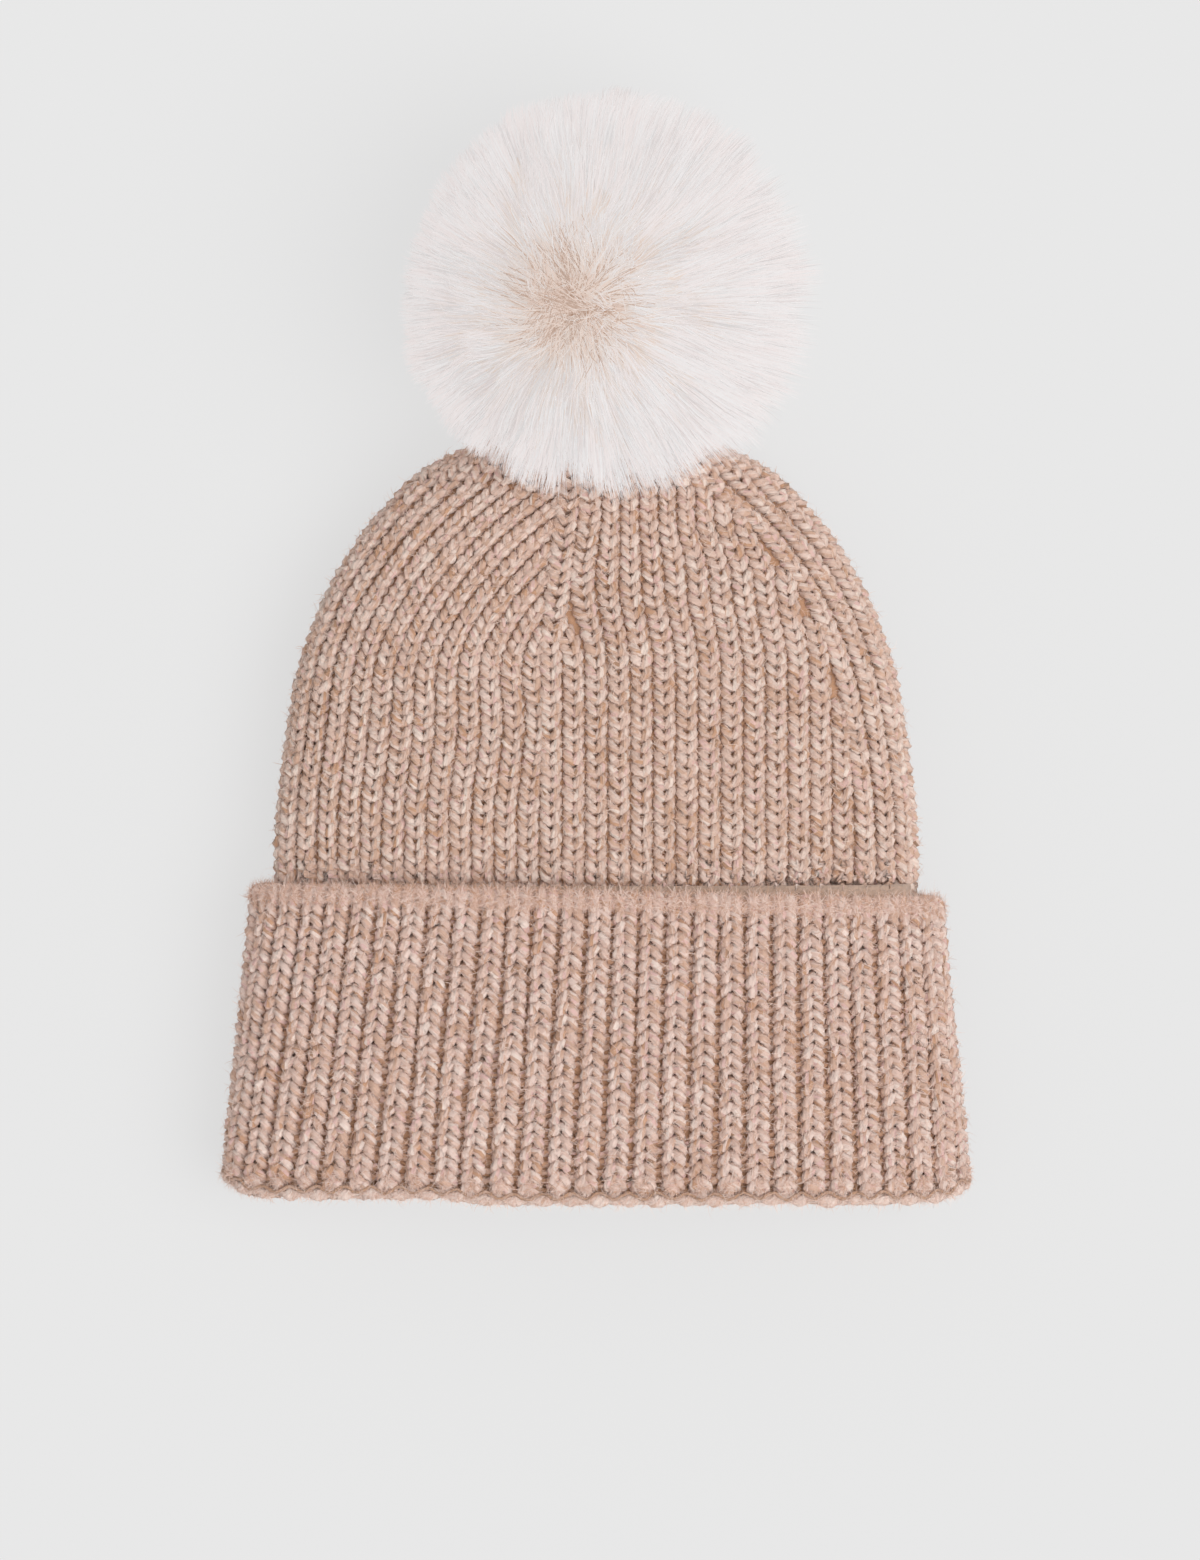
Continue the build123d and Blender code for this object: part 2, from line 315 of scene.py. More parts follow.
PALE, OAT, BEIGE, CAMEL, RUST, BARK, ROSE = range(7)
body_yarn, cuff_yarn = yarn_tints("body_yarn", 0.0), yarn_tints("cuff_yarn", 1.0)


def heather(strands, rings, sides, shift=0.0):
    """A shade for each face of many tubes: each strand of a yarn drifts between light and dark along its twist.

    shift makes the whole yarn darker.
    """
    fresh = rng.normal(0, 1, (strands, rings, sides))
    drift = fresh.copy()
    for k in range(1, rings):
        drift[:, k] = 0.8 * drift[:, k - 1] + 0.6 * fresh[:, k]
    value = rng.normal(shift, 0.3, (strands, 1, 1)) + 0.85 * drift
    tint = np.array([PALE, OAT, BEIGE, CAMEL, RUST])[np.digitize(value, [-1.25, -0.3, 0.6, 1.55])]
    odd = rng.random(tint.shape)
    tint[odd < 0.06] = ROSE
    tint[(odd > 0.985) & (value > 0)] = BARK
    return tint[:, : rings - 1].reshape(-1)


# ------------------------------------------------------------------ stitches
YARN = 1.42  # radius of the yarn in a stitch
WOBBLE = 0.07  # unevenness of the stitches
LOBES = np.array([1.0, 0.97, 0.88, 0.97] * 2)  # the outline of two plies side by side
PLY_TURN = 9.5  # length of yarn in which the plies go once round each other
STRANDS, STRAND_LAY = 6, 9.0  # fine strands round the yarn, and the length in which they gain one place
FIBRE_TAPER = np.array([0.048, 0.045, 0.038, 0.008])  # half widths along a loose fibre

# half a stitch, from its foot to the middle of its head: across in columns, along in rows, out in radii
HALF_LOOP = np.array(
    [
        (-0.10, -0.42, -2.4),
        (-0.035, -0.20, -0.8),
        (-0.16, -0.02, 0.2),
        (-0.31, 0.24, 0.36),
        (-0.40, 0.54, 0.05),
        (-0.41, 0.84, -0.95),
        (-0.26, 1.08, -2.1),
        (0.0, 1.16, -2.6),
    ]
)
LOOP = np.vstack([HALF_LOOP, HALF_LOOP[-2::-1] * (-1, 1, 1)])


def smooth_path(points, samples):
    """Evenly spread samples of a Catmull-Rom curve through points, for many paths at once (paths, points, 3)."""
    points = np.asarray(points, float)
    padded = np.concatenate([2 * points[:, :1] - points[:, 1:2], points, 2 * points[:, -1:] - points[:, -2:-1]], 1)
    t = np.linspace(0, points.shape[1] - 1, samples)
    i = np.minimum(t.astype(int), points.shape[1] - 2)
    f = (t - i)[None, :, None]
    a, b, c, d = (padded[:, i + k] for k in range(4))
    return 0.5 * (2 * b + (c - a) * f + (2 * a - 5 * b + 4 * c - d) * f**2 + (3 * b - 3 * c + d - a) * f**3)


def tubes(paths, radius, outward, lobes):
    """Tubes of twisted yarn along paths (n, rings, 3): vertices, and face corners' places on the yarn."""
    n, rings, _ = paths.shape
    along = unit(np.gradient(paths, axis=1))
    side = unit(np.cross(along, outward))
    up = np.cross(side, along)
    run = np.concatenate([np.zeros((n, 1)), np.linalg.norm(np.diff(paths, axis=1), axis=-1).cumsum(1)], 1)
    phase = rng.random(n)[:, None, None] * tau
    angle = phase + run[..., None] * tau / PLY_TURN + np.arange(len(lobes)) * tau / len(lobes)
    reach = np.broadcast_to(radius, (n, rings))[..., None] * lobes
    verts = paths[:, :, None] + (reach * np.cos(angle))[..., None] * side[:, :, None]
    verts = verts + (reach * np.sin(angle))[..., None] * up[:, :, None]
    return verts, uvs_of_tubes(run, len(lobes), STRANDS, STRAND_LAY)


def stations_along(y, points, across, pitch, start):
    """Stitch places along a line of points: centres, across, along and outward directions, and their y."""
    run = np.concatenate([[0], np.linalg.norm(np.diff(points, axis=0), axis=-1).cumsum()])
    stops = np.arange(start, run[-1], pitch)
    centre, along, across = (
        np.stack([np.interp(stops, run, v[:, k]) for k in range(3)], -1)
        for v in (points, np.gradient(points, axis=0), across)
    )
    along = unit(along)
    across = unit(across - (across * along).sum(-1, keepdims=True) * along)
    return centre, across, along, np.cross(across, along), np.interp(stops, run, y)


def place_loops(places, width, pitch, samples, radius=YARN):
    """Paths of stitches at places, with a little unevenness."""
    centre, across, along, out = places[:4]
    n = len(centre)
    width = np.broadcast_to(width, n)
    shape = LOOP + rng.normal(0, WOBBLE, (n, len(LOOP), 3)) * (0.35, 0.8, 1.6)
    lean = rng.normal(0, 0.06, n)[:, None]
    u = (shape[..., 0] + lean * shape[..., 1] * 0.3) * width[:, None]
    v, w = shape[..., 1] * pitch, shape[..., 2] * radius
    points = centre[:, None] + u[..., None] * across[:, None] + v[..., None] * along[:, None]
    points = points + w[..., None] * out[:, None]
    return smooth_path(points, samples), np.repeat(out[:, None], samples, 1)


def join_places(chains):
    """The places of many lines as one set."""
    return [np.concatenate(parts) for parts in zip(*chains)]


def yarn_piece(name, paths, radius, out, tints, slot, shift=0.0, lobes=LOBES):
    """A piece of the hat made of many lengths of yarn."""
    verts, uv = tubes(paths, radius, out, lobes)
    verts[..., 2] = np.maximum(verts[..., 2], YARN_FLOOR)
    n, rings, sides = verts.shape[:3]
    faces = quads_of_tubes(n, rings, sides)
    return piece(name, verts.reshape(-1, 3), faces, tints, "hat", slot, heather(n, rings, sides, shift), uv=uv)


def stitch_piece(name, places, width, pitch, tints, slot, samples, radius=YARN):
    """A piece of the hat made of stitches: the stitches' paths and outward directions."""
    paths, out = place_loops(places, width, pitch, samples, radius)
    scale = radius * (1 + rng.normal(0, 0.05, (len(paths), 1)))
    yarn_piece(name, paths, scale, out, tints, slot)
    return paths, out


def fuzz_piece(name, paths, out, count, tints, slot, radius=YARN):
    """Loose fibres that stand off the yarn and lie over the gaps."""
    which = rng.integers(0, len(paths), count), rng.integers(3, paths.shape[1] - 3, count)
    up = out[which]
    along = unit(np.gradient(paths, axis=1))[which]
    side = np.cross(along, up)
    turn = rng.normal(0, 0.9, count)[:, None]
    away = np.cos(turn) * up + np.sin(turn) * side
    start = paths[which] + radius * 0.97 * away
    lay = unit(rng.normal(0, 1, (count, 3)))
    lay = unit(lay - (lay * away).sum(-1, keepdims=True) * away)
    curl = unit(np.cross(lay, away)) * rng.normal(0, 0.5, (count, 1))
    length = rng.uniform(1.4, 3.8, (count, 1, 1))
    t = np.linspace(0, 1, len(FIBRE_TAPER))[None, :, None]
    lift = rng.uniform(0.02, 0.3, (count, 1, 1))
    fibre = start[:, None] + length * (lay[:, None] * t + lift * away[:, None] * t * (1.3 - t) + curl[:, None] * t * t)
    width = FIBRE_TAPER[None] * rng.uniform(0.6, 1.3, (count, 1))
    verts, faces = ribbons(fibre, np.repeat(away[:, None], len(FIBRE_TAPER), 1), width)
    verts[..., 2] = np.maximum(verts[..., 2], FIBRE_FLOOR)
    tint = rng.choice([PALE, OAT, BEIGE, CAMEL, RUST], count, p=[0.25, 0.25, 0.15, 0.15, 0.2])
    return piece(name, verts.reshape(-1, 3), faces, tints, "hat", slot, np.repeat(tint, len(FIBRE_TAPER) - 1))


# ------------------------------------------------------------------ crown stitches
COLUMNS = 60  # round the hat
BODY_ROW = 3.45  # height of a row of stitches
STRAIGHT_Y = -50.0  # the columns run straight below this
SHAPING_START = 0.0  # y where the crown's shaping starts
SHAPING_END = 46.0
SIDE_COLUMN = COLUMNS // 4
SPINE = -2  # the column that runs up the left shaping line
RIGHT_LINE = SIDE_COLUMN - 3  # the first column that follows the right outline
SPINE_TOP = -7.5  # where the spine ends at the top, from the front's middle
SPACING_Y = np.array([STRAIGHT_Y, -20.0, 0.0, 20.0, 38.0, SHAPING_END])
LEFT_SPACING = [6.33, 6.3, 5.95, 6.5, 7.4, 7.9]  # room from column to column, left of the spine
RIGHT_SPACING = [6.33, 6.4, 6.6, 7.0, 7.8, 8.3]  # and along the right outline
COLUMN_Y = np.arange(CUFF_TOP_Y - 9.0, CROWN[-1][0] - 0.5, 0.5)
STRAIGHT_QUARTER = float(crown_layer.quarter(STRAIGHT_Y))
END_QUARTER = float(crown_layer.quarter(SHAPING_END))
PITCH = STRAIGHT_QUARTER / SIDE_COLUMN  # room across a column where they run straight
MIDDLE_PITCH = 5.4  # and for the middle columns where the shaping ends


def smoothstep(x):
    x = np.clip(x, 0, 1)
    return x * x * (3 - 2 * x)


def column_lines():
    """The front's columns from the left edge to the right: their numbers k, and s and room across at each COLUMN_Y."""
    q = crown_layer.quarter(COLUMN_Y)
    k = np.arange(-SIDE_COLUMN, SIDE_COLUMN + 1)
    s = k[:, None] * PITCH * q / np.maximum(q, STRAIGHT_QUARTER)
    level = np.clip(COLUMN_Y, STRAIGHT_Y, SHAPING_END)
    edge = crown_layer.quarter(level)
    left = curve_through(SPACING_Y, np.array(LEFT_SPACING) * PITCH / LEFT_SPACING[0], level)[0]
    right = curve_through(SPACING_Y, np.array(RIGHT_SPACING) * PITCH / RIGHT_SPACING[0], level)[0]
    in_left, in_right, in_middle = k < SPINE, k >= RIGHT_LINE, (k > SPINE) & (k < RIGHT_LINE)
    s[in_left] = (k[in_left, None] + SIDE_COLUMN) * left - edge
    s[in_right] = edge - (SIDE_COLUMN - k[in_right, None]) * right
    rise = np.clip((level - SHAPING_START) / (SHAPING_END - SHAPING_START), 0, 1)
    s[k == SPINE] = SPINE * PITCH + (SPINE_TOP - SPINE * PITCH) * rise
    # the middle columns are drawn towards the spine, and those next to it most
    drawn_left = 3.3 * smoothstep((level + 5.0) / 25.0)
    upper = smoothstep((level - 20.0) / 18.0)
    lower_s, upper_s = k[in_middle, None] * PITCH - drawn_left, MIDDLE_PITCH * k[in_middle, None] - 1.2
    s[in_middle] = lower_s * (1 - upper) + upper_s * upper
    s[k == SPINE + 1] -= 4.0 * smoothstep((level + 2.0) / 14.0)
    s[k == SPINE + 2] -= 0.8 * smoothstep((level - 2.0) / 12.0)
    room = np.repeat((PITCH + (MIDDLE_PITCH - PITCH) * upper)[None], len(k), 0)
    lean = np.arctan(np.gradient(s, COLUMN_Y, axis=1))
    room[in_left] = (left * np.cos(lean))[in_left]
    room[in_right] = (right * np.cos(lean))[in_right]
    wide = (k == SPINE) | (k == SPINE + 2)
    room[wide] = np.maximum(room[wide], PITCH * (1 + 0.14 * smoothstep((level - 2.0) / 8.0)))
    below, top = COLUMN_Y < STRAIGHT_Y, COLUMN_Y > SHAPING_END
    s[:, below] = k[:, None] * PITCH
    for v in (s, room):
        v[:, top] = v[:, top] / END_QUARTER * q[top]
    return k, s, room


def crown_columns():
    """Every column's number and side, and its y, s and room across as far as it is knitted."""
    ks, lines, rooms = column_lines()
    q = crown_layer.quarter(COLUMN_Y)
    top = int(np.argmax(COLUMN_Y > SHAPING_END)) - 1
    shaped = COLUMN_Y > SHAPING_START - 16.0
    spine, right = lines[ks == SPINE][0], lines[ks == RIGHT_LINE][0]
    for back in (False, True):
        for k, s, room in zip(ks, lines, rooms):
            if back and abs(k) == SIDE_COLUMN:
                continue
            kept = np.ones(len(s), bool)
            if k < SPINE:
                kept = ~shaped | (s < spine - 0.36 * PITCH)
            elif SPINE < k < RIGHT_LINE:
                kept = ~shaped | ((s > spine + 0.2 * PITCH) & (s < right - 0.5 * PITCH))
            kept[top:] = kept[top]
            end = len(s) if kept.all() else int(np.argmin(kept))
            yield k, back, COLUMN_Y[:end], (2 * q[:end] - s[:end]) if back else s[:end], room[:end]


def dip(y):
    """How far the knit is drawn in where it goes down behind the cuff's rim."""
    return 1.6 * smoothstep((CUFF_TOP_Y + 4.0 - y) / 7.0)


def crown_places():
    """Stitch places and widths for the four quarters of the crown."""
    made = {(back, right): [] for back in (False, True) for right in (False, True)}
    for k, back, y, s, room in crown_columns():
        start = (1 - 0.25 * rng.random()) * BODY_ROW
        lifted = 0.5 * (k == SPINE) + 0.3 * (k == RIGHT_LINE)  # these two lie over the columns that end at them
        rolled = 0.6 * (SIDE_COLUMN - 4 < abs(k) < SIDE_COLUMN)  # the fabric rolls into ropes near its sides
        depth = YARN * 1.02 - lifted - 0.7 * rolled + dip(y)
        points, _, across = crown_layer.at(y, s, depth)
        places = stations_along(y, points, across, BODY_ROW, start)
        at = places[-1]
        local = np.interp(at, y, np.clip(room, 4.6, 7.4)) - 0.8 * rolled
        local = local * np.clip(crown_layer.quarter(at) / END_QUARTER, 0, 1)
        # a loop's legs lie 0.81 of its width apart, and the yarn's own width comes on top
        made[back, k > 0].append((*places, (local - 2 * YARN * 0.86) / 0.81))
    for key, parts in made.items():
        *places, widths = join_places(parts)
        yield key, places, widths


CORNER_RISE, EDGE_RISE, LEFT_RISE = 4.6, 1.2, 1.7  # how far the mouth's corners, its whole edge and its left rise
HEM_START = -138.0  # the knit is drawn up below this y


def hem(y, turn):
    """The mouth's edge lies a little higher on the left, and its corners are round. turn is s in quarters."""
    sideways = 1 - np.abs(np.abs(turn) - 1)
    rise = CORNER_RISE * np.exp(-(((1 - sideways) * 11.0) ** 2))
    rise = rise + EDGE_RISE + LEFT_RISE * smoothstep((sideways - 0.22) / 0.2) * (turn < 0)
    return y + rise * np.clip((HEM_START - y) / (HEM_START - FOLD_Y), 0, 1)


def wall(name, layer, profile, around, material, slot, replaces):
    """A closed fabric wall whose section is profile, places of y and depth, under the stitches."""
    turn = np.linspace(-2, 2, around, endpoint=False)
    rings = []
    for y, depth in profile:
        at = hem(np.full(around, y), turn)
        p, _, _ = layer.at(at, turn * layer.quarter(at), depth)
        p[:, 2] = np.maximum(p[:, 2], WALL_FLOOR)
        rings.append(p)
    faces = quads_of_tubes(1, len(rings) + 1, around)[:, ::-1] % (len(rings) * around)
    ob = piece(name, np.concatenate(rings), faces, [material], "hat", slot)
    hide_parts(*replaces)


def fabric(name, colour):
    """The fabric between and behind the stitches: its dark brown is partly the yarn's brown fuzz and partly painted
    shade in the gaps.
    """
    material, p = principled(name, colour, 0.95, 0.3, specular=0.1)
    return bumpy(material, p, 900.0, 0.9, 0.0008)


# the grounds are darker than the yarn, partly brown fuzz and partly painted shade in the gaps
ground = fabric("fabric_ground_fuzz_and_shade", (0.50, 0.29, 0.18))
band_ground = fabric("band_ground", (0.50, 0.35, 0.27))
for (back, right), places, width in crown_places():
    side = ("back" if back else "front") + ("_right" if right else "_left")
    samples, count = (12, 4500) if back else (16, 15000)
    laid = stitch_piece(f"crown_{side}_stitches", places, width, BODY_ROW, body_yarn, "body_yarn", samples)
    fuzz_piece(f"crown_{side}_fuzz", *laid, count, body_yarn, "body_yarn")
ys = np.concatenate([np.arange(-72.0, 60.0, 4.0), [61.0, 63.0]])
section = [(y, 2.1 + dip(y)) for y in ys] + [(y, KNIT) for y in ys[::-1]]
wall("crown_ground", crown_layer, section, 140, ground, "body_yarn", replaces=["crown_knit"])


# ------------------------------------------------------------------ cuff
RIBS = 56
RIB = 4 / RIBS  # a rib's pitch, in quarters of the way round
CUFF_ROW = 3.42
RIB_WIDTH = 5.2  # width of a rib's stitches
RIB_YARN = 1.55  # the ribs' yarn lies a little looser
SKEW = 4.2  # how far the ribs' lower ends lie to the left
FIRST_ROW = CUFF_TOP_Y - 2.2  # y where the ribs' stitches start, in the rim
LAST_ROW = FOLD_Y + 4.9  # and where they end, in the knobs
KNOB_Y = FOLD_Y + 6.2  # the knobs reach from 2.5 above this to 4.1 below it
KNOB_RADIUS, KNOB_DEPTH = 2.6, 2.3
RIM_ARC, RIM_MIDDLE = 1.55, 3.0  # the rim's yarn goes over in an arc of this radius, round this depth
RIM_RINGS, RIM_UPPER = 20, 12  # rings along the rim's yarn, and those of them that lie inside and on top
RIM_SHADE = 0.45  # the rim's yarn is darker than the ribs', painted shade where the rim meets the crown
BAR_HALF = 2.4  # half the length of a bar of yarn between two ribs


def rim_low(turn):
    """How far the cuff's rim is drawn down, a little more on the right than on the left."""
    return 1.7 + 1.8 * np.sin(turn * pi / 2)


def rib_s(k, y, q):
    """The way round for rib k at each y, where q is the quarter length."""
    drop = (CUFF_TOP_Y - y) / (CUFF_TOP_Y - FOLD_Y)
    wander = 0.16 * np.sin(y / 17.0 + k * 1.7) + 0.1 * np.sin(y / 7.3 + k * 2.9)
    return k * RIB * q - SKEW * (drop - 0.3) + wander


def on_cuff(k, y, depth):
    """Points, normals and across directions on rib k."""
    q = cuff_layer.quarter(y)
    turn = rib_s(k, y, q) / q
    turn = (turn + 2) % 4 - 2
    at = hem(y, turn)
    return cuff_layer.at(at, turn * cuff_layer.quarter(at), depth)


def cuff_tints(*shades):
    """The cuff's yarn with these shades in place of pale, oat, beige, camel, rust, bark and rose."""
    return [cuff_yarn[shade] for shade in shades]


def down_rib(k, y, depth, pitch, start):
    """Stitch places on a line that runs down rib k."""
    points, _, across = on_cuff(k, y, depth)
    return stations_along(y, points, -across, pitch, start)


rim_paths, rim_out, knob_paths, knob_out = [], [], [], []
chains, bars = {False: [], True: []}, []
for k in range(RIBS):
    low = rim_low(k * RIB)
    y = np.arange(FIRST_ROW - low, LAST_ROW, -1.0)
    shift = rng.random() * 0.25 * CUFF_ROW
    chains[abs(k - RIBS / 2) < RIBS / 4].append(down_rib(k, y, RIB_YARN, CUFF_ROW, shift))
    y = np.arange(CUFF_TOP_Y - 4.5, FOLD_Y + 4.0, -1.0)
    bars.append(down_rib(k + 0.5, y, 2.9, CUFF_ROW * 0.8, shift))
    # two lengths of yarn come up out of each rib, go over the rim and down inside it
    over = np.linspace(-1.9, pi / 2, 9)
    y = np.append(RIM_ARC * np.cos(over) - 3.0, [-4.4, -5.8, -7.0]) + CUFF_TOP_Y - low
    depth = np.append(RIM_MIDDLE - RIM_ARC * np.sin(over), [1.45, 1.7, 2.6])
    for side in (-1, 1):
        p, normal, across = on_cuff(k, y, depth)
        spread = side * np.append(np.linspace(1.0, 1.95, 9), [1.85, 1.6, 1.45]) + rng.normal(0, 0.2)
        rim_paths.append(p + spread[:, None] * across)
        rim_out.append(normal)
    y = KNOB_Y - np.linspace(-2.5, 4.1, 8) - rng.normal(0, 0.15)
    p, normal, _ = on_cuff(k, y, KNOB_DEPTH)
    knob_paths.append(p)
    knob_out.append(normal)

for back, parts in chains.items():
    side = "back" if back else "front"
    places = join_places(parts)
    samples, count = (12, 9000) if back else (16, 30000)
    laid = stitch_piece(
        f"cuff_{side}_stitches", places, RIB_WIDTH, CUFF_ROW, cuff_yarn, "cuff_yarn", samples, RIB_YARN
    )
    fuzz_piece(f"cuff_{side}_fuzz", *laid, count, cuff_yarn, "cuff_yarn")

rim_paths, rim_out = smooth_path(rim_paths, RIM_RINGS), smooth_path(rim_out, RIM_RINGS)
rim_radius = rng.normal(1.85, 0.1, (len(rim_paths), 1))
rim = yarn_piece("cuff_rim_yarn", rim_paths, rim_radius, rim_out, cuff_yarn, "cuff_yarn", RIM_SHADE)
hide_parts("cast_on_edge")
fuzz_piece("cuff_rim_fuzz", rim_paths, rim_out, 26000, cuff_yarn, "cuff_yarn", 1.8)
# a yarn runs round inside the rim and fills it between the ribs
turn = np.linspace(-2, 2, 1200)
y = CUFF_TOP_Y - 4.2 - rim_low(turn)
fill_path, fill_out, _ = cuff_layer.at(y, turn * cuff_layer.quarter(y), 2.2)
fill_radius = rng.normal(1.9, 0.08, (1, len(turn)))
# the fill yarn is darkened with the same painted shade as the rim
yarn_piece("cuff_rim_fill", fill_path[None], fill_radius, fill_out[None], cuff_yarn, "cuff_yarn", RIM_SHADE)
# darker fibres, painted shade where the rim meets the crown
shade_tints = cuff_tints(BARK, RUST, CAMEL, RUST, BARK, BARK, ROSE)
upper = rim_paths[:, :RIM_UPPER], rim_out[:, :RIM_UPPER]
fuzz_piece("cuff_rim_shade_fuzz", *upper, 9000, shade_tints, "cuff_yarn")

KNOB_RINGS = 10
knob_paths, knob_out = smooth_path(knob_paths, KNOB_RINGS), smooth_path(knob_out, KNOB_RINGS)
knob_shape = KNOB_RADIUS * np.sqrt(np.clip(1 - np.linspace(-1.02, 1.02, KNOB_RINGS) ** 2, 0.02, 1))
knob_radius = knob_shape[None] * rng.normal(1, 0.06, (RIBS, 1))
yarn_piece("cuff_rib_knobs", knob_paths, knob_radius, knob_out, cuff_yarn, "cuff_yarn", 0.1)
fuzz_piece("cuff_knob_fuzz", knob_paths, knob_out, 7000, cuff_yarn, "cuff_yarn", 2.3)

# bars of yarn cross the furrows between ribs
centre, side, along, out, _ = join_places(bars)
u = np.linspace(-BAR_HALF, BAR_HALF, 6)
sag = -0.5 * (np.abs(u) / BAR_HALF) ** 2
tilt = rng.normal(0, 0.5, (len(centre), 1)) + rng.normal(0, 0.22, (len(centre), 1)) * u
bar_paths = centre[:, None] + u[None, :, None] * side[:, None] + tilt[..., None] * along[:, None]
bar_paths = bar_paths + sag[None, :, None] * out[:, None]
bar_out = np.repeat(out[:, None], len(u), 1)
bar_radius = rng.normal(1.1, 0.15, (len(centre), 1))
bar_lobes = LOBES[[0, 1, 2, 4, 5, 6]]
# the bars' yarn is made darker, painted shade in the furrows between the ribs
yarn_piece("cuff_purl_bars", bar_paths, bar_radius, bar_out, cuff_yarn, "cuff_yarn", 1.9, bar_lobes)


def scallop(turn, y):
    """A wave round the mouth, 1 under each rib's knob and -1 between them."""
    q = cuff_layer.quarter(y)
    return np.cos(tau * (turn + SKEW * 0.7 / q) / RIB)


def ring_yarn(name, y_of, depth, radius, samples, tints, shift=0.0, bulge=0.0):
    """A yarn that runs round the mouth, at y_of the turn. bulge makes it thicker between the ribs."""
    turn = np.linspace(-2, 2, samples)
    y = hem(np.full(samples, FOLD_Y + 1.0), turn) - FOLD_Y - 1.0 + y_of(turn)
    p, normal, _ = cuff_layer.at(np.maximum(y, FOLD_Y), turn * cuff_layer.quarter(y), depth)
    p[:, 1] = y
    window = np.ones(12) / 12**0.5
    wander = rng.normal(0, 1, (samples + len(window), 2))
    wander = np.stack([np.convolve(wander[:, i], window, "valid")[:samples] for i in (0, 1)], -1)
    p[:, 1] += 0.13 * wander[:, 0]
    thick = radius * (1 + 0.1 * wander[None, :, 1] - bulge * scallop(turn, FOLD_Y + 1.0))
    yarn_piece(name, p[None], thick, normal[None], tints, "cuff_yarn", shift)
    if bulge:
        fuzz_piece(f"{name}_fuzz", p.reshape(20, -1, 3), normal.reshape(20, -1, 3), 9000, tints, "cuff_yarn", radius)


# painted shade: a thin yarn in brown shades lies in the gap under each knob
shade_line_tints = cuff_tints(RUST, RUST, CAMEL, RUST, BARK, BARK, RUST)
lip_tints = cuff_tints(PALE, PALE, OAT, BEIGE, CAMEL, CAMEL, OAT)
SHADE_LINE_Y, LIP_Y = -156.0, -157.0  # a dark line that shows under the knobs, painted shade where they overhang the lip, and the lip below it
ring_yarn("mouth_shade_line", lambda t: SHADE_LINE_Y - 0.85 * scallop(t, SHADE_LINE_Y), 0.25, 0.5, 1400, shade_line_tints)
ring_yarn("mouth_lip_outer", lambda t: LIP_Y + 0.1 + 0.35 * scallop(t, LIP_Y), 2.0, 1.6, 1300, lip_tints, -0.2, 0.25)
ring_yarn("mouth_lip_under", lambda t: LIP_Y + 0.1 + 0.2 * scallop(t, LIP_Y), 4.6, 1.5, 500, cuff_yarn)
ring_yarn("mouth_lip_middle", lambda t: LIP_Y - 0.2 * scallop(t, LIP_Y), 7.2, 1.5, 500, cuff_yarn)
ring_yarn("mouth_lip_inner", lambda t: LIP_Y + 0.6 + 0.2 * scallop(t, LIP_Y), 9.7, 1.5, 500, cuff_yarn)

ys = np.arange(FOLD_Y + 5.0, CUFF_TOP_Y - 4.0, 4.0)
section = [(y, 3.1) for y in ys] + [(CUFF_TOP_Y - 4.8, 3.2), (CUFF_TOP_Y - 4.4, 4.2)] + [(y, KNIT) for y in ys[::-1]]
wall("cuff_ground", cuff_layer, section, 160, ground, "cuff_yarn", replaces=["turned_cuff"])
# the fold's section, from the outside round its lower edge to the inside
section = [(-150.0, 3.1), (-154.5, 3.1), (-156.4, 3.8), (-157.2, 5.4), (-157.2, 8.0), (-156.2, 10.2), (-153.0, 11.4)]
section = section + [(-150.0, 11.6), (-150.0, 9.0), (-150.0, 6.0)]
wall("mouth_fold", cuff_layer, section, 160, ground, "cuff_yarn", replaces=["fold_edge"])

# ------------------------------------------------------------------ inside the mouth
inner_chains = []
for k in range(RIBS):
    y = np.arange(-153.5, CUFF_TOP_Y + 4.0, 1.0)
    turn = (k - RIBS / 2) * RIB
    p, _, across = band_layer.at(y, turn * band_layer.quarter(y), -1.2)
    inner_chains.append(stations_along(y, p, -across, CUFF_ROW, rng.random()))
paths, out = place_loops(join_places(inner_chains), RIB_WIDTH, CUFF_ROW, 9)
yarn_piece("inner_band_stitches", paths, 1.3, out, cuff_yarn, "cuff_yarn", 0.3, np.ones(6))
ys = np.arange(-152.0, CUFF_TOP_Y + 1.0, 5.0)
section = [(y, -5.6) for y in ys] + [(y, -2.6) for y in ys[::-1]]
wall("inner_band_ground", band_layer, section, 120, band_ground, "body_yarn", replaces=["inner_band"])

# ------------------------------------------------------------------ pom
FUR_BODY, FUR_PAINTED_GLOW = 0.22, 0.79  # what a hair reflects, and a painted glow, the hairs' own emitted colour, that stands in for the light reaching them through their neighbours
fur_tints = []
for name, colour in (
    ("root", (0.80, 0.64, 0.56)),
    ("under", (0.82, 0.70, 0.63)),
    ("cream", (0.82, 0.75, 0.715)),
    ("white", (0.83, 0.808, 0.807)),
    ("blush", (0.84, 0.776, 0.766)),
    ("grey", (0.76, 0.70, 0.69)),
    ("shade", (0.56, 0.405, 0.325)),
):
    material, p = principled(f"fur_{name}", [FUR_BODY * c for c in colour], 0.7, 0.0, specular=0.1)
    # painted light: each hair glows with its own colour
    p.inputs["Emission Color"].default_value = (*colour, 1)
    p.inputs["Emission Strength"].default_value = FUR_PAINTED_GLOW
    fur_tints.append(material)
ROOT, UNDER, CREAM, WHITE, BLUSH, GREY, SHADE = range(7)

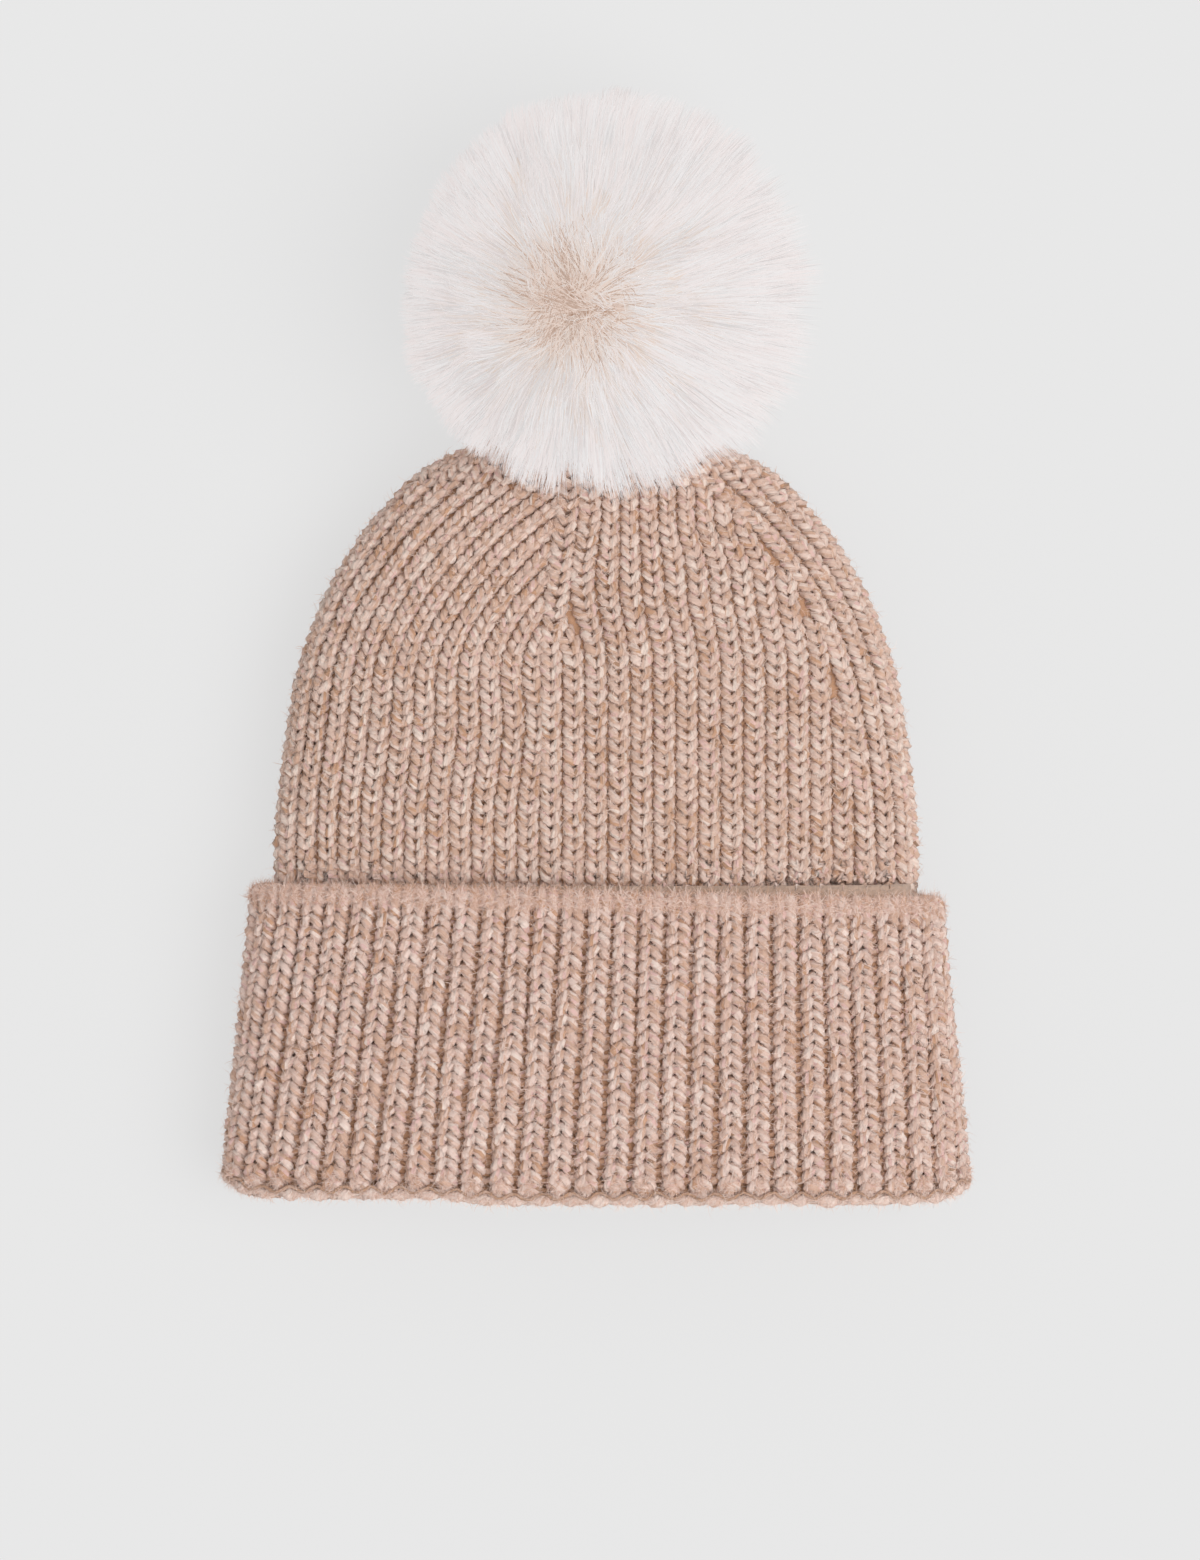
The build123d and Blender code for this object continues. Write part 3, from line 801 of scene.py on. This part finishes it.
HAIRS = 64000
HAIR_TAPER = np.array([0.9, 1.0, 1.0, 0.95, 0.85, 0.65, 0.4, 0.05]) * 0.14  # half widths along a hair
HAIR_RINGS = len(HAIR_TAPER)
SPLAY_Z = 1.0  # hairs that would come lower than this splay over the table
FUR_LEAN = np.array([0.19, 0.10, 0.0])  # the hair leans a little, so the fur parts left of the middle
FUR_SHIFT = np.array([6.0, -1.2, 0.0])  # so the trimmed ball sits right of its core
FUR_TRIM = 58.6  # radius to which the ball is trimmed
FOOT_START, FOOT_END = 0.70, 0.93  # the hair gets short between these cosines to the snap's axis, then ends
TUFT_TONE = 0.7  # the part of the hairs that have their tuft's shades
PARTING = unit(np.array([-0.19, -0.10, 1.0]))  # the direction in which the hair stands straight up


def scatter(count, noise=0.02):
    """Directions spread over a ball, by the golden angle, with a little noise."""
    i = np.arange(count) + 0.5
    z = 1 - 2 * i / count
    turn = i * pi * (3 - 5**0.5)
    d = np.stack([np.sqrt(1 - z * z) * np.cos(turn), np.sqrt(1 - z * z) * np.sin(turn), z], -1)
    return unit(d + rng.normal(0, noise, d.shape))


def nearest(points, targets):
    """For each direction in points, the number of the target it is closest to, worked out in parts to save memory."""
    return np.concatenate([(chunk @ targets.T).argmax(1) for chunk in np.array_split(points, 40)])


def strand(roots, length, bend, sway):
    """Hairs that stand out from the ball, lean, and fall away from the parting towards their tips."""
    cosine = np.clip((roots * PARTING).sum(-1), -1, 1)
    fall = roots * cosine[:, None] - PARTING
    t = np.linspace(0, 1, HAIR_RINGS)[None, :, None]
    out = unit(roots + FUR_LEAN)[:, None] * t
    drop = (fall * bend[:, None] + sway)[:, None] * t**1.9
    path = out + drop
    return CORE_RADIUS * 0.98 * roots[:, None] + length[:, None, None] * path


def fur_paths(roots):
    """Hairs gathered in tufts and locks, and two numbers for each hair that choose its shades."""
    locks, tufts = scatter(700, 0.06), scatter(6500, 0.03)
    lock, tuft, tuft_lock = nearest(roots, locks), nearest(roots, tufts), nearest(tufts, locks)
    lock_bend = rng.uniform(0.05, 0.3, len(locks))
    lock_length = rng.uniform(0.94, 1.05, len(locks))
    lock_sway = rng.normal(0, 0.08, (len(locks), 3))
    full = (POM_RADIUS - CORE_RADIUS) * 1.04

    def lead(directions, which, spread, jitter):
        n = len(directions)
        close = np.arccos(np.clip(directions @ PARTING, -1, 1))
        length = full * lock_length[which] * (1 - 0.22 * np.exp(-((close / 0.35) ** 2)))
        length = length * (1 + jitter * rng.normal(0, 1, n).clip(-2.2, 1.0))
        length = length * (1 - 0.5 * smoothstep((directions @ -AXIS - FOOT_START) / (FOOT_END - FOOT_START)))
        tousled = 1 + 3.0 * np.exp(-((close / 0.3) ** 2))[:, None]
        sway = (lock_sway[which] + rng.normal(0, spread, (n, 3))) * tousled
        return strand(directions, length, lock_bend[which], sway)

    lock_paths = lead(locks, np.arange(len(locks)), 0.0, 0.0)
    tuft_paths = lead(tufts, tuft_lock, 0.07, 0.05)
    paths = lead(roots, lock, 0.09, 0.10)
    t = np.linspace(0, 1, HAIR_RINGS)[None, :, None]
    tuft_paths = tuft_paths + (lock_paths[tuft_lock] - tuft_paths) * 0.25 * t**1.4
    hold = rng.uniform(0.3, 0.85, (len(roots), 1, 1))
    paths = paths + (tuft_paths[tuft] - paths) * hold * t**1.2
    middle = FUR_SHIFT * t
    reach = np.linalg.norm(paths - middle, axis=-1, keepdims=True)
    trimmed = np.where(reach > FUR_TRIM, FUR_TRIM + (reach - FUR_TRIM) * 0.35, reach)
    shared, own = rng.random((len(tufts), 2))[tuft], rng.random((len(roots), 2))
    tones = np.where(rng.random((len(roots), 1)) < TUFT_TONE, shared, own)
    return POM_CENTRE + middle + (paths - middle) * trimmed / reach, tones


def settle(paths):
    """Fur splays where it meets the table."""
    under = np.maximum(SPLAY_Z - paths[..., 2], 0)[..., None]
    away = unit((paths - POM_CENTRE) * (1, 1, 0))
    paths = paths + 0.3 * under * away
    paths[..., 2] = np.maximum(paths[..., 2], SPLAY_Z)
    return paths


def fur_piece(name, paths, draw):
    """A piece of fur. draw holds the two numbers that choose each hair's shades."""
    n = len(paths)
    radial = unit(paths - POM_CENTRE)
    facing = unit(radial + rng.normal(0, 0.25, (n, 1, 3)))
    verts, faces = ribbons(paths, facing, HAIR_TAPER[None] * rng.uniform(0.7, 1.3, (n, 1)))
    verts[..., 2] = np.maximum(verts[..., 2], HAIR_FLOOR)
    upright = np.array([0.1, 0.05, 1.0])
    normals = unit(0.45 * radial + upright + rng.normal(0, 0.15, (n, 1, 3)))
    normals = np.repeat(normals[:, :, None], 2, 2)
    tint = np.array([ROOT, ROOT, UNDER, CREAM, WHITE, WHITE, WHITE])[None].repeat(n, 0)
    tint[draw[:, 0] < 0.5, 4:] = BLUSH
    tint[draw[:, 0] > 0.95, 3:6] = GREY
    tint[draw[:, 1] < 0.25, 3] = UNDER
    tint[draw[:, 1] > 0.75, 2] = CREAM
    # round the parting the hairs are seen from their tips and their tan roots show; the shade tint paints the shade
    # that falls between the tufts there
    close = np.arccos(np.clip(unit(paths[:, 3] - POM_CENTRE) @ PARTING, -1, 1)) + rng.normal(0, 0.10, n)
    tint[close < 0.38, 4:] = CREAM
    tint[close < 0.27, 3:] = UNDER
    tint[(close < 0.23) & (draw[:, 0] < 0.55), 3:] = ROOT
    # painted shade: dark strokes between the tufts near the parting
    tint[(close < 0.31) & (draw[:, 1] < 0.33), :6] = SHADE
    return piece(
        name, verts.reshape(-1, 3), faces, fur_tints, "pom", "fur", tint.reshape(-1), normals=normals.reshape(-1, 3)
    )


roots = scatter(HAIRS)
roots = roots[roots @ -AXIS < FOOT_END]
hairs, tones = fur_paths(roots)
hairs = settle(hairs)
FUR_PIECES = 5
for index, group in enumerate(np.array_split(rng.permutation(len(hairs)), FUR_PIECES)):
    fur = fur_piece(f"pom_fur_{index + 1}", hairs[group], tones[group])
    if index == 0:
        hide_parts("pom_fur_pile")

# ------------------------------------------------------------------ carried-over CAD nodes
# colour, roughness, and 1 for metal
WOOL, FELT = ((0.60, 0.42, 0.33), 0.95, 0), ((0.62, 0.52, 0.43), 0.95, 0)
STEEL = (0.62, 0.61, 0.59), 0.35, 1
node_looks = {
    "pom_backing": ((0.70, 0.57, 0.47), 0.95, 0),
    "pom_stuffing": ((0.9, 0.9, 0.89), 0.95, 0),
    "pom_base_disc": FELT,
    "pom_gather_thread": ((0.8, 0.75, 0.68), 0.7, 0),
    "outer_felt_washer": FELT,
    "inner_felt_washer": FELT,
    "crown_gather": WOOL,
    "gather_yarn": WOOL,
    "back_seam": WOOL,
    "care_label": ((0.88, 0.87, 0.84), 0.6, 0),
    "label_stitches": ((0.8, 0.78, 0.74), 0.6, 0),
    "snap_stud": STEEL,
    "stud_rivet_cap": STEEL,
    "snap_socket": STEEL,
    "socket_spring": ((0.7, 0.69, 0.67), 0.25, 1),
    "socket_cap": STEEL,
}
for node, (colour, rough, metal) in node_looks.items():
    material, p = principled(f"look_{node}", colour, rough, 0.2 * (1 - metal), metal)
    bumpy(material, p, 1500.0, 0.3 if metal else 0.8, 0.0001 if metal else 0.0005)
    for place in frame["nodes"][node].material_slots:
        place.material = material

# ------------------------------------------------------------------ studio
GLOW = 0.638  # how much of the table's light is its own, as a sweep lit from below
table_material, p = principled("table", (0.14, 0.14, 0.14), 0.9, specular=0.0)
p.inputs["Emission Color"].default_value = (1, 1, 1, 1)
p.inputs["Emission Strength"].default_value = GLOW
bpy.ops.mesh.primitive_plane_add(size=8.0, location=(0, 0, 0))
table = bpy.context.object
table.name = "table"
table.data.materials.append(table_material)

LENS, SENSOR = 300.0, 36.0  # millimetres, the sensor's along the picture's height
SPAN, HAT_MIDDLE = 0.4437, 0.028  # metres: what the picture's height covers at the hat's middle, which lies so high
camera_data = bpy.data.cameras.new("camera")
camera_data.lens = LENS
camera = bpy.data.objects.new("camera", camera_data)
bpy.context.scene.collection.objects.link(camera)
camera.location = (0.0011, -0.0371, HAT_MIDDLE + LENS / SENSOR * SPAN)
bpy.context.scene.camera = camera

sun = bpy.data.lights.new("sun", "SUN")
sun.energy = 1.84
sun.angle = radians(50)
sun_object = bpy.data.objects.new("sun", sun)
bpy.context.scene.collection.objects.link(sun_object)
sun_object.rotation_euler = (radians(9), radians(28), 0)

world = bpy.data.worlds.new("studio")
world.use_nodes = True
world.node_tree.nodes["Background"].inputs["Color"].default_value = (1, 1, 1, 1)
world.node_tree.nodes["Background"].inputs["Strength"].default_value = 0.70
bpy.context.scene.world = world
bpy.context.scene.view_settings.view_transform = "Standard"
